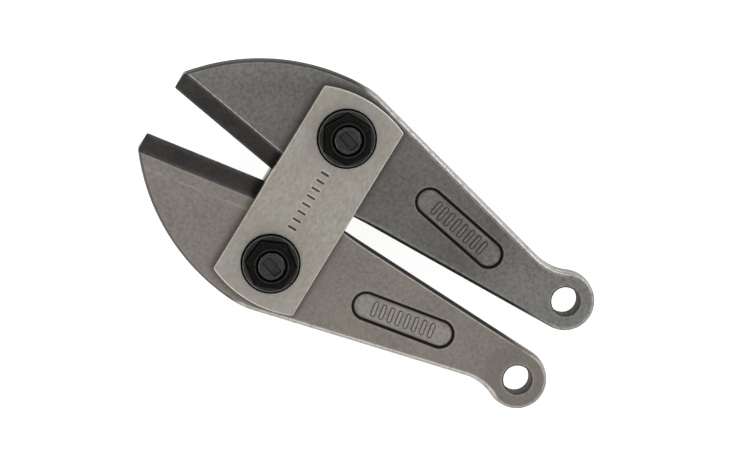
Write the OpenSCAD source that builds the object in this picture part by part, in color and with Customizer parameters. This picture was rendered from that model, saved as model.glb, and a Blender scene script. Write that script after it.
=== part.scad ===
// Cutting head of an 18 inch bolt cutter, without its handles.
// Two forged jaws turn on two shouldered bolts, between two link plates held by flange nuts.
// The head lies flat: blades towards -X, handle eyes towards +X, and +Z up along the bolts.
// A jaw is drawn closed, with its cutting edge along the X axis, and is then turned open on its bolt.

/* [Pivots] */
// Distance between the two pivot bolts
pivot_gap = 43.5; // [40:0.5:53]
// How far each jaw stands open, in degrees
rest_deg = 9; // [4:0.5:10]
// How much further each jaw can open, in degrees
open_more = 3; // [1:0.5:4]

/* [Blades] */
// Thickness of a jaw
jaw_t = 10; // [8:0.5:14]
// Pivot line to the tip of the cutting edge
edge_reach = 48.2; // [40:0.2:60]
// Pivot line to the heel, where the cutting edge stops
heel_reach = 9.4; // [8.4:0.1:12]
// Width of each ground bevel, seen from above
bevel_w = 6; // [4:0.5:8]
// Flat left along the cutting edge
edge_land = 0.3; // [0.1:0.1:0.8]
// Height of the blade's end face
tip_h = 5.3; // [4:0.1:8]
// Lean of the end face from square to the edge, in degrees
tip_lean = 10.5; // [5:0.5:20]
// Rounding between the end face and the back
tip_r = 2; // [1:0.1:3]
// Radius of the blade's back
back_r = 64; // [56:1:80]

/* [Shoulders] */
// Radius of the shoulder over the pivot
shoulder_r = 24; // [20:0.5:29]
// Centre of the shoulder arc, along the head from the pivot line
shoulder_x = -0.9; // [-3:0.1:1]
// Centre of the shoulder arc, below the pivot
shoulder_drop = 8.25; // [6:0.25:10]
// Start of the lever's inner edge round the knuckle, in degrees
knuckle_deg = 36; // [30:1:42]
// Radius of the meshing tooth
tooth_r = 2.5; // [1.5:0.1:3.5]

/* [Levers] */
// Pivot line to the centre of the handle eye
eye_reach = 82.4; // [68:0.2:100]
// Centre of the handle eye, above the pivot
eye_rise = 5; // [3:0.25:8]
// Outer radius of the handle eye
eye_r = 9.1; // [7.5:0.1:11]
// Bore of the handle eye
eye_bore = 8.4; // [6:0.1:10.5]
// Chamfer on both ends of the eye's bore
eye_chamfer = 0.5; // [0.2:0.1:1]
// Fillet between the lever and the eye
neck_r = 16; // [12:0.5:22]
// Slope of the lever's outer edge, in degrees
outer_deg = 4.9; // [3:0.1:6]

/* [Recessed panels] */
// Pivot line to the centre of the panel's first end
panel_x = 31.7; // [28:0.1:38]
// Centre of the panel's first end, above the pivot
panel_rise = 1.45; // [0:0.05:3]
// Distance between the centres of the two ends
panel_len = 23.7; // [16:0.1:28]
// Slope of the panel, in degrees
panel_deg = 1.2; // [0:0.1:3]
// Radius of the panel's ends
panel_r = 4.4; // [3.5:0.1:5.3]
// Depth of the panel below the face
panel_depth = 0.7; // [0.3:0.1:1]
// Number of raised bars in a panel
bar_count = 8; // [1:1:9]
// Spacing of the raised bars
bar_pitch = 2.6; // [2:0.1:2.8]
// Width of a raised bar
bar_w = 1.1; // [0.6:0.1:1.6]
// Length of a raised bar
bar_l = 4.4; // [3:0.1:5.4]
// Height of a raised bar above the panel's floor
bar_h = 0.5; // [0.2:0.1:0.6]

/* [Link plates] */
// Thickness of a link plate
plate_t = 3.5; // [2.5:0.1:5]
// Width of a link plate
plate_w = 27.7; // [22:0.1:34]
// Pivot to the middle of the plate's curved end
plate_end = 12.95; // [11:0.05:16]
// Chamfer round both faces of a plate
plate_chamfer = 0.4; // [0.2:0.1:0.8]
// Number of marks stamped in the front plate
mark_count = 8; // [1:1:9]
// Spacing of the stamped marks
mark_pitch = 2.7; // [2:0.1:3]
// Width of a stamped mark
mark_w = 0.8; // [0.4:0.1:1.2]
// Length of a stamped mark
mark_l = 3; // [2:0.1:4]
// Depth of a stamped mark
mark_depth = 0.25; // [0.1:0.05:0.5]

/* [Bolts and nuts] */
// Diameter of the bolt's shoulder, on which the jaw turns
bolt_d = 10; // [9.5:0.1:12]
// Diameter of the bolt's threaded end
thread_d = 8; // [6:0.5:8]
// Across flats of the nut and of the bolt's head
hex_af = 13; // [12.5:0.1:14]
// Diameter of the flange on the nut and on the head
flange_d = 17.9; // [17:0.1:22]
// Thickness of the flange at its rim
flange_t = 1.2; // [0.8:0.1:1.8]
// Slope of the flange's upper side, in degrees
flange_deg = 22; // [15:1:30]
// Height of the nut
nut_h = 8; // [6:0.5:10]
// Height of the bolt's head
head_h = 6; // [5:0.5:9]
// How far the bolt stands out of its nut
stub_h = 1; // [0.6:0.1:3]
// Length of the slot in the bolt's end
slot_l = 5.6; // [3:0.1:5.6]
// Width of the slot in the bolt's end
slot_w = 2.8; // [1:0.1:3]
// Depth of the slot
slot_depth = 0.8; // [0.4:0.1:2]
// Direction of the slot, in degrees
slot_deg = -18; // [-90:1:90]
// Where the upper nut stopped turning, in degrees
upper_nut_deg = 0; // [0:1:60]
// Where the lower nut stopped turning, in degrees
lower_nut_deg = 24; // [0:1:60]

/* [Fits] */
// Radial clearance between a bolt's shoulder and its holes
pivot_fit = 0.05; // [0.02:0.01:0.1]
// Radial clearance between a bolt's threaded end and its nut
thread_fit = 0.02; // [0.02:0.01:0.1]
// Clearance between a jaw and each link plate
side_gap = 0.05; // [0.02:0.01:0.2]
// Clearance between the two knuckles
knuckle_gap = 0.1; // [0.05:0.05:0.4]
// Clearance round the meshing tooth
tooth_gap = 0.3; // [0.2:0.05:0.5]
// Each cutting edge to the centre line, at the tip, with the jaws closed
edge_gap = 0.05; // [0.02:0.01:0.2]
// How much further the heel is from the centre line
heel_relief = 0.1; // [0:0.05:0.4]

/* [Hidden] */
$fn = 96;
// How far a cutting tool runs past the surface that it cuts
past = 1;
// Turn from one point of an outline's arc to the next, in degrees
arc_step = 2.5;

function unit(a) = [cos(a), sin(a)];
function heading(v) = atan2(v.y, v.x);

// Heights, from the undersides of the bolt heads
rear_z = head_h;
jaw_z = rear_z + plate_t + side_gap;
front_z = jaw_z + jaw_t + side_gap;
nut_z = front_z + plate_t;

// Pivots and knuckles, which roll on each other like two gears
pivot = [0, pivot_gap / 2];
knuckle_r = (pivot_gap - knuckle_gap) / 2;
tooth_deg = (rest_deg + open_more) / 2;
tooth = pivot + pivot_gap / 2 * unit(tooth_deg - 90);

// Blade: the back arc runs from the end face to the shoulder arc, and is tangent to the shoulder
tip = [-edge_reach, edge_gap];
heel = [-heel_reach, edge_gap + heel_relief];
end_dir = unit(90 + tip_lean);
end_top = tip + tip_h * end_dir;
shoulder = [shoulder_x, pivot.y - shoulder_drop];
base = shoulder - end_top;
rise_r = back_r - shoulder_r;
back_swing = acos((back_r ^ 2 + base * base - rise_r ^ 2) / (2 * back_r * norm(base)));
back = end_top + back_r * unit(heading(base) - back_swing);
back_deg = heading(shoulder - back);

// Rounded corner of the tip, tangent to the end face and to the back
corner_foot = tip + tip_r * unit(tip_lean);
corner_run = (corner_foot - back) * end_dir;
corner_gap = (corner_foot - back) * (corner_foot - back) - (back_r - tip_r) ^ 2;
corner = corner_foot + (sqrt(corner_run ^ 2 - corner_gap) - corner_run) * end_dir;

// Lever: straight outer edge, neck fillet, round eye, and a straight inner edge from the knuckle
eye = [eye_reach, pivot.y + eye_rise];
outer_dir = unit(-outer_deg);
outer_up = unit(90 - outer_deg);
outer_start = shoulder + shoulder_r * outer_up;
neck_foot = outer_start + neck_r * outer_up;
neck_run = (neck_foot - eye) * outer_dir;
neck_off = (neck_foot - eye) * (neck_foot - eye) - (eye_r + neck_r) ^ 2;
neck = neck_foot - (neck_run + sqrt(neck_run ^ 2 - neck_off)) * outer_dir;
inner_start = pivot + knuckle_r * unit(knuckle_deg - 90);
inner_deg = heading(eye - inner_start) - asin(eye_r / norm(eye - inner_start));

// The head's middle along X, with the jaws at rest
function opened(q) =
    let (d = q - pivot)
    pivot + [d.x * cos(rest_deg) + d.y * sin(rest_deg), d.y * cos(rest_deg) - d.x * sin(rest_deg)];
left_x = tip_lean > rest_deg ? opened(corner).x - tip_r : opened(tip).x;
right_x = opened(eye).x + eye_r;
middle_x = (left_x + right_x) / 2;

// Points along an arc, from one direction to another
function arc(centre, r, from_deg, to_deg) =
    let (steps = ceil(abs(to_deg - from_deg) / arc_step))
    [for (i = [0 : steps]) centre + r * unit(from_deg + (to_deg - from_deg) * i / steps)];

// Outline of a closed jaw, from the tip back along the cutting edge and round by the eye
outline = concat(
    [tip, heel],
    arc(pivot, knuckle_r, heading(heel - pivot), knuckle_deg - 90),
    arc(eye, eye_r, inner_deg - 90, heading(neck - eye)),
    arc(neck, neck_r, heading(eye - neck) + 360, 270 - outer_deg),
    arc(shoulder, shoulder_r, 90 - outer_deg, back_deg),
    arc(back, back_r, back_deg, heading(corner - back)),
    arc(corner, tip_r, heading(corner - back), 180 + tip_lean)
);

// What the grinder takes off above the cutting edge, running out just past the heel
module bevel_cut() {
    run = heel - tip;
    land = edge_land / 2;
    climb = jaw_t / 2 - land;
    translate(tip)
        rotate([0, 0, heading(run)])
            translate([-bevel_w, 0, 0])
                rotate([90, 0, 90])
                    linear_extrude(norm(run) + bevel_w + heel_relief + past / 2)
                        polygon([
                            [-past, land],
                            [0, land],
                            [1.3 * bevel_w, land + 1.3 * climb],
                            [-past, land + 1.3 * climb]
                        ]);
}

// Recessed panel in the upper face, with its raised bars left standing
module panel_cut() {
    translate([panel_x, pivot.y + panel_rise, jaw_t / 2 - panel_depth])
        rotate([0, 0, -panel_deg])
            difference() {
                linear_extrude(panel_depth + past) {
                    circle(panel_r);
                    translate([panel_len, 0]) circle(panel_r);
                    translate([0, -panel_r]) square([panel_len, 2 * panel_r]);
                }
                for (i = [0 : bar_count - 1])
                    translate([panel_len / 2 + (i - (bar_count - 1) / 2) * bar_pitch, 0, bar_h / 2 - past / 2])
                        cube([bar_w, bar_l, bar_h + past], center = true);
            }
}

// Bore of the eye, with a chamfer at the upper face
module eye_cut() {
    translate(eye) cylinder(d = eye_bore, h = jaw_t + past);
    translate([eye.x, eye.y, jaw_t / 2 - eye_chamfer])
        cylinder(r1 = eye_bore / 2, r2 = eye_bore / 2 + eye_chamfer + past, h = eye_chamfer + past);
}

// Jaw forging, the same on both faces, with its mid-plane at z = 0
module jaw_blank() {
    difference() {
        translate([0, 0, -jaw_t / 2]) linear_extrude(jaw_t) polygon(outline);
        translate([0, pivot.y, -jaw_t / 2 - past]) cylinder(d = bolt_d + 2 * pivot_fit, h = jaw_t + 2 * past);
        for (face = [0, 1])
            mirror([0, 0, face]) {
                bevel_cut();
                panel_cut();
                eye_cut();
            }
    }
}

// Turns a closed upper jaw open and lifts it to its place
module open_jaw() {
    translate([-middle_x, pivot.y, jaw_z + jaw_t / 2])
        rotate([0, 0, -rest_deg])
            translate([0, -pivot.y, 0])
                children();
}

module upper_jaw() {
    color("#75736E")
        open_jaw()
            difference() {
                jaw_blank();
                translate([tooth.x, tooth.y, -jaw_t / 2 - past])
                    cylinder(r = tooth_r + tooth_gap, h = jaw_t + 2 * past);
            }
}

// The lower jaw is the same forging turned over, with the tooth in place of the notch
module lower_jaw() {
    color("#7B7872")
        mirror([0, 1, 0])
            open_jaw() {
                jaw_blank();
                translate([tooth.x, tooth.y, -jaw_t / 2]) cylinder(r = tooth_r, h = jaw_t);
            }
}

// Link plate: long sides straight, both ends parts of one circle about the plate's middle
module link_plate() {
    end_r = pivot.y + plate_end;
    flat_w = plate_w / 2 - plate_chamfer;
    difference() {
        intersection() {
            rotate_extrude($fn = 192)
                polygon([
                    [0, 0],
                    [end_r - plate_chamfer, 0],
                    [end_r, plate_chamfer],
                    [end_r, plate_t - plate_chamfer],
                    [end_r - plate_chamfer, plate_t],
                    [0, plate_t]
                ]);
            translate([0, end_r + past, 0])
                rotate([90, 0, 0])
                    linear_extrude(2 * (end_r + past))
                        polygon([
                            [-flat_w, 0],
                            [flat_w, 0],
                            [plate_w / 2, plate_chamfer],
                            [plate_w / 2, plate_t - plate_chamfer],
                            [flat_w, plate_t],
                            [-flat_w, plate_t],
                            [-plate_w / 2, plate_t - plate_chamfer],
                            [-plate_w / 2, plate_chamfer]
                        ]);
        }
        for (side = [-1, 1])
            translate([0, side * pivot.y, -past]) cylinder(d = bolt_d + 2 * pivot_fit, h = plate_t + 2 * past);
    }
}

module front_link_plate() {
    color("#A29D95")
        translate([-middle_x, 0, front_z])
            difference() {
                link_plate();
                for (i = [0 : mark_count - 1])
                    translate([-mark_l / 2, (i - (mark_count - 1) / 2) * mark_pitch - mark_w / 2, plate_t - mark_depth])
                        cube([mark_l, mark_w, mark_depth + past]);
            }
}

module rear_link_plate() {
    color("#A29D95") translate([-middle_x, 0, rear_z]) link_plate();
}

// Hexagon with a flange, seated at z = 0 and rising to h
module flange_hex(h) {
    rim_r = flange_d / 2;
    corner_r = hex_af / 2 / cos(30);
    rotate_extrude()
        polygon([
            [0, 0],
            [rim_r, 0],
            [rim_r, flange_t],
            [hex_af / 2, flange_t + (rim_r - hex_af / 2) * tan(flange_deg)],
            [0, flange_t + (rim_r - hex_af / 2) * tan(flange_deg)]
        ]);
    intersection() {
        cylinder(r = corner_r, h = h, $fn = 6);
        rotate_extrude()
            polygon([
                [0, 0],
                [corner_r, 0],
                [corner_r, h - (corner_r - hex_af / 2) * tan(30)],
                [hex_af / 2, h],
                [0, h]
            ]);
    }
}

// Shouldered bolt: head at the rear, shoulder through the plates and the jaw, threaded end in front
module pivot_bolt(side) {
    bevel = (thread_d - slot_l) / 4;
    end_z = nut_z + nut_h + stub_h;
    color("#232323")
        translate([-middle_x, side * pivot.y, 0])
            difference() {
                union() {
                    translate([0, 0, head_h]) mirror([0, 0, 1]) flange_hex(head_h);
                    cylinder(d = bolt_d, h = nut_z);
                    cylinder(d = thread_d, h = end_z - bevel);
                    translate([0, 0, end_z - bevel])
                        cylinder(d1 = thread_d, d2 = thread_d - 2 * bevel, h = bevel);
                }
                translate([0, 0, end_z - slot_depth])
                    rotate([0, 0, slot_deg])
                        translate([-slot_l / 2, -slot_w / 2, 0])
                            cube([slot_l, slot_w, slot_depth + past]);
            }
}

module upper_pivot_bolt() {
    pivot_bolt(1);
}

module lower_pivot_bolt() {
    pivot_bolt(-1);
}

// Flange nut, screwed down on the bolt's shoulder
module flange_nut(side, turn) {
    hole_r = thread_d / 2 + thread_fit;
    flare = (bolt_d - thread_d) / 4;
    color("#2B2B2B")
        translate([-middle_x, side * pivot.y, nut_z])
            difference() {
                rotate([0, 0, turn]) flange_hex(nut_h);
                translate([0, 0, -past]) cylinder(r = hole_r, h = nut_h + 2 * past);
                translate([0, 0, nut_h - flare])
                    cylinder(r1 = hole_r, r2 = hole_r + flare + past, h = flare + past);
            }
}

module upper_flange_nut() {
    flange_nut(1, upper_nut_deg);
}

module lower_flange_nut() {
    flange_nut(-1, lower_nut_deg);
}

upper_jaw();
lower_jaw();
front_link_plate();
rear_link_plate();
upper_pivot_bolt();
lower_pivot_bolt();
upper_flange_nut();
lower_flange_nut();
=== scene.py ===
# %% [markdown]
# # The cutting head of a bolt cutter
# The head is eight pieces of steel: two forged jaws, two link plates, two shouldered
# bolts and two flange nuts. The CAD model fixes where each piece is. This lesson makes
# the surfaces that an eye looks for: rolled edges, ground bevels, threads and wear.

# %% Tools and the frame
from collections import namedtuple

import bmesh
import bpy
import numpy as np
from mathutils import Matrix, Vector
from mathutils.geometry import delaunay_2d_cdt


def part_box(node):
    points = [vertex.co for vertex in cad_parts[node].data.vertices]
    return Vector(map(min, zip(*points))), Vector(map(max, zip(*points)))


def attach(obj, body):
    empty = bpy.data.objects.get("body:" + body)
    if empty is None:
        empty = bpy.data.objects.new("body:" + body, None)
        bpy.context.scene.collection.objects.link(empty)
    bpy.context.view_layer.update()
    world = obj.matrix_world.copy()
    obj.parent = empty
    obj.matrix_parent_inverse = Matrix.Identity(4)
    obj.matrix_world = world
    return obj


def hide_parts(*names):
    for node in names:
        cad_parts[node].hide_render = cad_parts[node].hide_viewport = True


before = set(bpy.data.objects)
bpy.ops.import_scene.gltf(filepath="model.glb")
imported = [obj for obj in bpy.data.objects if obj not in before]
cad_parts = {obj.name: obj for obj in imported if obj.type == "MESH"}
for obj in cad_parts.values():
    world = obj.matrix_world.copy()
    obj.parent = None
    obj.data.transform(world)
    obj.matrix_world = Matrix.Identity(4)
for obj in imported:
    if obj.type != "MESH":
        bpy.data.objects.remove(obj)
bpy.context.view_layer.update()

MM = 0.001

# %% [markdown]
# ## Where things are
# Every place comes from the boxes of the CAD nodes. The two bolts give the pivots, and
# the plates give the heights. All lengths here are millimetres, and the last step of
# each piece turns them into metres.

# %% Places, read from the CAD nodes
def box_mm(node):
    """Lowest and highest corner of a CAD node, in millimetres."""
    low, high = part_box(node)
    return np.array(low) / MM, np.array(high) / MM


BOLT_LOW, BOLT_HIGH = box_mm("upper_pivot_bolt")
PIVOT_X, PIVOT_Y = (BOLT_LOW[:2] + BOLT_HIGH[:2]) / 2
HEAD_H = box_mm("rear_link_plate")[0][2]
PLATE_T = box_mm("rear_link_plate")[1][2] - HEAD_H
JAW_LOW, JAW_HIGH = (corner[2] for corner in box_mm("upper_jaw"))
JAW_MID, HALF = (JAW_LOW + JAW_HIGH) / 2, (JAW_HIGH - JAW_LOW) / 2
FRONT_Z = box_mm("front_link_plate")[0][2]
NUT_Z = FRONT_Z + PLATE_T
NUT_H = box_mm("upper_flange_nut")[1][2] - NUT_Z
BOLT_END = BOLT_HIGH[2]
print(f"pivots at x {PIVOT_X:.2f}, y +-{PIVOT_Y:.2f}; jaws from z {JAW_LOW:.2f} to {JAW_HIGH:.2f}")

# %% [markdown]
# ## Camera
# The head lies flat and the camera looks down on it through a long lens, tipped by a few
# degrees and rolled, so that the blades point to the upper left. A long lens keeps the two
# jaws the same size. The camera is built from its three axes, so nothing is left to chance.

# %% Camera over the head
def unit(vector):
    """The vector, made one long."""
    return np.asarray(vector, float) / np.linalg.norm(vector)


def put(name, data):
    """A new object in the scene."""
    thing = bpy.data.objects.new(name, data)
    bpy.context.scene.collection.objects.link(thing)
    return thing


def add_camera(aim, tip_deg, roll_deg, distance, lens):
    """A camera that looks along minus its own z axis at aim (mm), tipped from the vertical."""
    towards = unit([np.tan(np.radians(tip_deg[0])), np.tan(np.radians(tip_deg[1])), 1])
    level = np.array([np.cos(np.radians(roll_deg)), np.sin(np.radians(roll_deg)), 0])
    right = unit(level - towards * (towards @ level))
    upward = np.cross(towards, right)
    data = bpy.data.cameras.new("long_lens")
    data.lens, data.sensor_width, data.sensor_fit = lens, 36, "HORIZONTAL"
    data.clip_start, data.clip_end = 0.05, 20
    camera = put("camera", data)
    place = np.eye(4)
    place[:3, :3] = np.stack([right, upward, towards], 1)
    place[:3, 3] = (np.array(aim) + distance * towards) * MM
    camera.matrix_world = Matrix(place.tolist())
    bpy.context.scene.camera = camera
    return camera


CAMERA = add_camera((2.04, -0.61, JAW_MID), (-6.5, 3.3), 31.05, 1200, 195.4)
print("camera at", [round(v, 3) for v in CAMERA.location], "m")

# %% [markdown]
# ## Light
# Steel shows what stands round it, so the lights are chosen for what the metal reflects. A
# dim ceiling keeps the flat faces mid grey, a bright ring half way up lights the rolled
# edges, and a dark horizon makes the steep bevels nearly black. Two weak softboxes add a
# line of light along the levers.

# %% Sky and softboxes
def add_softbox(name, place, aim, size, power):
    """A white rectangular lamp at place that faces aim, both in metres."""
    data = bpy.data.lights.new(name, "AREA")
    data.shape, data.size, data.size_y = "RECTANGLE", size[0], size[1]
    data.energy = power
    lamp = put(name, data)
    lamp.location = place
    lamp.rotation_euler = (Vector(aim) - Vector(place)).to_track_quat("-Z", "Y").to_euler()


def add_sky(stops):
    """A plain studio round the object. stops are pairs of height (0 at the horizon, 1 straight
    up) and brightness, on a smooth ramp. Below the horizon it stays as at the horizon."""
    world = bpy.data.worlds.new("studio")
    world.use_nodes = True
    nodes, links = world.node_tree.nodes, world.node_tree.links
    direction = nodes.new("ShaderNodeTexCoord")
    split = nodes.new("ShaderNodeSeparateXYZ")
    ramp = nodes.new("ShaderNodeValToRGB")
    ramp.color_ramp.interpolation = "EASE"
    for _ in stops[2:]:
        ramp.color_ramp.elements.new(0.5)
    brightest = max(level for _, level in stops)
    for element, (height, level) in zip(ramp.color_ramp.elements, stops):
        element.position = height
        element.color = (level / brightest,) * 3 + (1,)
    links.new(direction.outputs["Generated"], split.inputs[0])
    links.new(split.outputs["Z"], ramp.inputs[0])
    links.new(ramp.outputs[0], nodes["Background"].inputs["Color"])
    nodes["Background"].inputs["Strength"].default_value = brightest
    bpy.context.scene.world = world


add_sky([(0.0, 0.22), (0.28, 0.30), (0.58, 1.75), (0.80, 1.60), (0.95, 0.62), (1.0, 0.55)])
MIDDLE, BOX_SIZE = (0, 0, 0.015), (0.9, 0.25)
add_softbox("edge_box", (0.45, 0.95, 0.55), MIDDLE, BOX_SIZE, 3.0)
add_softbox("fill_box", (-0.35, -0.95, 0.60), MIDDLE, BOX_SIZE, 2.5)
bpy.context.scene.view_settings.view_transform = "Standard"
bpy.context.scene.view_settings.look = "None"

# %% [markdown]
# ## Nodes and colours
# A material is a small machine of nodes. One function adds a node with its settings and
# links, and one turns the hex colours of a screen into the linear light of the shader.

# %% Two helpers for every material
def linear(hex_colour):
    """sRGB hex to linear RGBA: c/12.92 below 0.04045, else ((c+0.055)/1.055)^2.4."""
    c = np.array([int(hex_colour[i:i + 2], 16) for i in (1, 3, 5)]) / 255
    c = np.where(c <= 0.04045, c / 12.92, ((c + 0.055) / 1.055) ** 2.4)
    return (*c.tolist(), 1.0)


def add_node(material, kind, values=None, links=None, **settings):
    """Adds a node, sets its properties and its unlinked inputs, and links the others."""
    node = material.node_tree.nodes.new("ShaderNode" + kind)
    for name, value in settings.items():
        setattr(node, name, value)
    for name, value in (values or {}).items():
        node.inputs[name].default_value = value
    for name, source in (links or {}).items():
        material.node_tree.links.new(source, node.inputs[name])
    return node


# %% [markdown]
# ## A recipe for bare and blackened steel
# Each finish here is the same story with other numbers: a base colour that drifts a little,
# a fine grit from the tumbling drum or the grinding belt, dark marks of dirt and painted shade
# in corners and on inner edges, and bright marks of wear and painted highlights on edges. The
# mesh carries two attributes for this, one for the dark marks and one for the bright, worked out
# with the shape.

# %% The recipe
# Sockets of a Mix node: its factor, then A and B for numbers, then A and B for colours.
FACTOR, A, B, COLOUR_A, COLOUR_B, COLOUR_OUT = 0, 2, 3, 6, 7, 2
# Three noises add up to about 1.5, and nearly all of the sum lies between these two.
TONE_LOW, TONE_HIGH = 1.22, 1.78
BRIGHT_MARK_ROUGH, DARK_MARK_ROUGH = 0.28, 0.9


def steel(name, dark, light, bright, dirt_and_shade, rough, cloud_mm, mottle_mm, grit_depth, grit_mm=0.6,
          stretch=(1, 1, 1), wear_and_highlight_share=1.0):
    """Steel whose colour drifts from dark to light over cloud_mm and mottle_mm, with grit
    grit_mm wide. The bright colour is laid on by the marks of wear and painted highlight, and the
    next colour by the marks of dirt and painted shade. Its roughness follows the mottle between
    rough[0] and rough[1], is low under the bright marks, and high under the dark marks."""
    m = bpy.data.materials.new(name)
    m.use_nodes = True
    shader = m.node_tree.nodes["Principled BSDF"]
    place = add_node(m, "TexCoord").outputs["Object"]
    lay = add_node(m, "Mapping", {"Scale": stretch}, {"Vector": place}).outputs[0]
    cloud, mottle, grit = (
        add_node(m, "TexNoise", {"Scale": 1000 / width, "Detail": detail, "Roughness": fine},
                 {"Vector": vector}).outputs["Fac"]
        for width, detail, fine, vector in ((cloud_mm, 3.0, 0.5, place),
                                            (mottle_mm, 5.0, 0.65, lay), (grit_mm, 3.0, 0.6, lay)))
    total = cloud
    for noise in (mottle, grit):
        total = add_node(m, "Math", {}, {0: total, 1: noise}, operation="ADD").outputs[0]
    tone = add_node(m, "MapRange", {"From Min": TONE_LOW, "From Max": TONE_HIGH},
                    {"Value": total}).outputs[0]
    colour = add_node(m, "Mix", {COLOUR_A: linear(dark), COLOUR_B: linear(light)},
                      {FACTOR: tone}, data_type="RGBA").outputs[COLOUR_OUT]
    roughness = add_node(m, "MapRange", {"From Min": 0.35, "From Max": 0.65, "To Min": rough[0],
                                         "To Max": rough[1]}, {"Value": mottle}).outputs[0]
    wear_and_highlight, grime_and_shade = (add_node(m, "Attribute", attribute_name=mark).outputs["Fac"]
                   for mark in ("wear_and_highlight", "grime_and_shade"))
    patchy = add_node(m, "MapRange", {"From Min": 0.22, "From Max": 0.52, "To Max": wear_and_highlight_share},
                      {"Value": mottle}).outputs[0]
    rub_and_highlight = add_node(m, "Math", {}, {0: wear_and_highlight, 1: patchy}, operation="MULTIPLY").outputs[0]
    # The bright marks of wear and painted highlight come first, and the dark marks of dirt and
    # painted shade lie over them.
    for share, tint, flat in ((rub_and_highlight, bright, BRIGHT_MARK_ROUGH), (grime_and_shade, dirt_and_shade, DARK_MARK_ROUGH)):
        colour = add_node(m, "Mix", {COLOUR_B: linear(tint)}, {FACTOR: share, COLOUR_A: colour},
                          data_type="RGBA").outputs[COLOUR_OUT]
        roughness = add_node(m, "Mix", {B: flat}, {FACTOR: share, A: roughness}).outputs[0]
    bump = add_node(m, "Bump", {"Strength": 1.0, "Distance": grit_depth * MM}, {"Height": grit})
    for socket, source in (("Base Color", colour), ("Roughness", roughness),
                           ("Normal", bump.outputs[0])):
        m.node_tree.links.new(source, shader.inputs[socket])
    shader.inputs["Metallic"].default_value = 1.0
    return m


# %% [markdown]
# ## The finishes
# The jaws are drop-forged chrome-molybdenum steel, quenched and then tumbled in a drum of
# stones: mid grey, soft and mottled. The bevels are ground after that and blued by the heat
# of tempering, so they are much darker and smoother. The plates are blanked from cold-rolled
# strip and belt-ground: a lighter, warmer satin. Bolts and nuts have black oxide.

# %% Six finishes
# Real grit is too fine to see from here, so it is drawn about half a millimetre wide.
# In each finish the third colour is laid on by wear and painted highlights, and the fourth by dirt
# and painted shade.
FORGED = steel("tumbled_forged_steel", "#5B5A56", "#6D6C68", "#B4B2AD", "#1B1A17", (0.42, 0.56),
               cloud_mm=22, mottle_mm=1.1, grit_depth=0.030)
FORGED_WARM = steel("tumbled_forged_steel_warm", "#76726B", "#857F78", "#BDB9B3", "#1E1C19",
                    (0.42, 0.56), cloud_mm=22, mottle_mm=1.1, grit_mm=0.7, grit_depth=0.030)
GROUND = steel("tempered_ground_bevel", "#363534", "#424140", "#A9A7A2", "#1C1B19", (0.34, 0.46),
               cloud_mm=9, mottle_mm=1.6, grit_depth=0.012, stretch=(1, 3, 1))
SATIN = steel("belt_ground_plate_steel", "#9F9890", "#A8A69E", "#D8D5CE", "#3A3733", (0.36, 0.48),
              cloud_mm=14, mottle_mm=1.6, grit_depth=0.010, stretch=(2, 1, 1))
BLACK_OXIDE = steel("black_oxide_steel", "#1F1F1E", "#292928", "#6E6D6A", "#070707", (0.30, 0.42),
                    cloud_mm=5, mottle_mm=1.2, grit_mm=0.5, grit_depth=0.008, wear_and_highlight_share=0.5)
BLACK_BOLT = steel("black_oxide_bolt_steel", "#373738", "#444445", "#8A8986", "#101010",
                   (0.34, 0.46), cloud_mm=4, mottle_mm=1.0, grit_mm=0.5, grit_depth=0.012,
                   wear_and_highlight_share=0.5)
print("finishes:", [m.name for m in bpy.data.materials])

# %% [markdown]
# ## Distances do the drawing
# A rolled edge, a bevel, a bore's chamfer and a recess are all heights that depend on how
# far a point is from a line. So the faces of the flat pieces are height fields: one
# function says how high the surface is over any point of the plan, and the mesh only has to
# be dense where that function bends.

# %% Distances in the plan
def way(degrees):
    """Unit vector in a direction, or one for each of many."""
    return np.stack([np.cos(np.radians(degrees)), np.sin(np.radians(degrees))], -1)


def heading(vector):
    """Direction of a vector, in degrees."""
    return np.degrees(np.arctan2(vector[1], vector[0]))


def far(points, centre):
    """Distance from each point to a centre."""
    return np.linalg.norm(points - centre, axis=1)


def nearest(points, loop, block=1500):
    """Distance from each point to a closed loop, with the nearest segment's number and the
    share of the way along it. The foot of the perpendicular is held inside the segment."""
    start, step = loop, np.roll(loop, -1, 0) - loop
    length2 = (step ** 2).sum(1)
    found = []
    for part in np.array_split(points, max(1, len(points) // block)):
        share = np.clip(((part[:, None] - start) * step).sum(2) / length2, 0, 1)
        gap = np.linalg.norm(part[:, None] - start - share[..., None] * step, axis=2)
        pick = gap.argmin(1)
        row = np.arange(len(part))
        found.append(np.stack([gap[row, pick], pick, share[row, pick]], 1))
    found = np.concatenate(found)
    return found[:, 0], found[:, 1].astype(int), found[:, 2]


def inside(points, loop):
    """True where a ray to +x crosses the loop an odd number of times."""
    a, b = loop, np.roll(loop, -1, 0)
    x, y = points[:, :1], points[:, 1:]
    spans = (a[:, 1] > y) != (b[:, 1] > y)
    rise = np.where(b[:, 1] == a[:, 1], 1, b[:, 1] - a[:, 1])
    hit = x < a[:, 0] + (y - a[:, 1]) / rise * (b[:, 0] - a[:, 0])
    return (spans & hit).sum(1) % 2 == 1


def along(values, pick, share):
    """A value kept at each corner of a loop, read between the corners."""
    after = np.roll(values, -1, 0)
    share = share if values.ndim == 1 else share[:, None]
    return values[pick] * (1 - share) + after[pick] * share


def mitres(loop):
    """Outward mitre at each corner of a counter-clockwise loop, one long on a straight."""
    step = np.roll(loop, -1, 0) - loop
    out = np.stack([step[:, 1], -step[:, 0]], 1) / np.linalg.norm(step, axis=1)[:, None]
    before = np.roll(out, 1, 0)
    return (out + before) / np.maximum(1 + (out * before).sum(1), 0.35)[:, None]


def smooth_step(t):
    """0 below 0, 1 above 1, and 3t^2 - 2t^3 between."""
    t = np.clip(t, 0, 1)
    return t * t * (3 - 2 * t)


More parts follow.
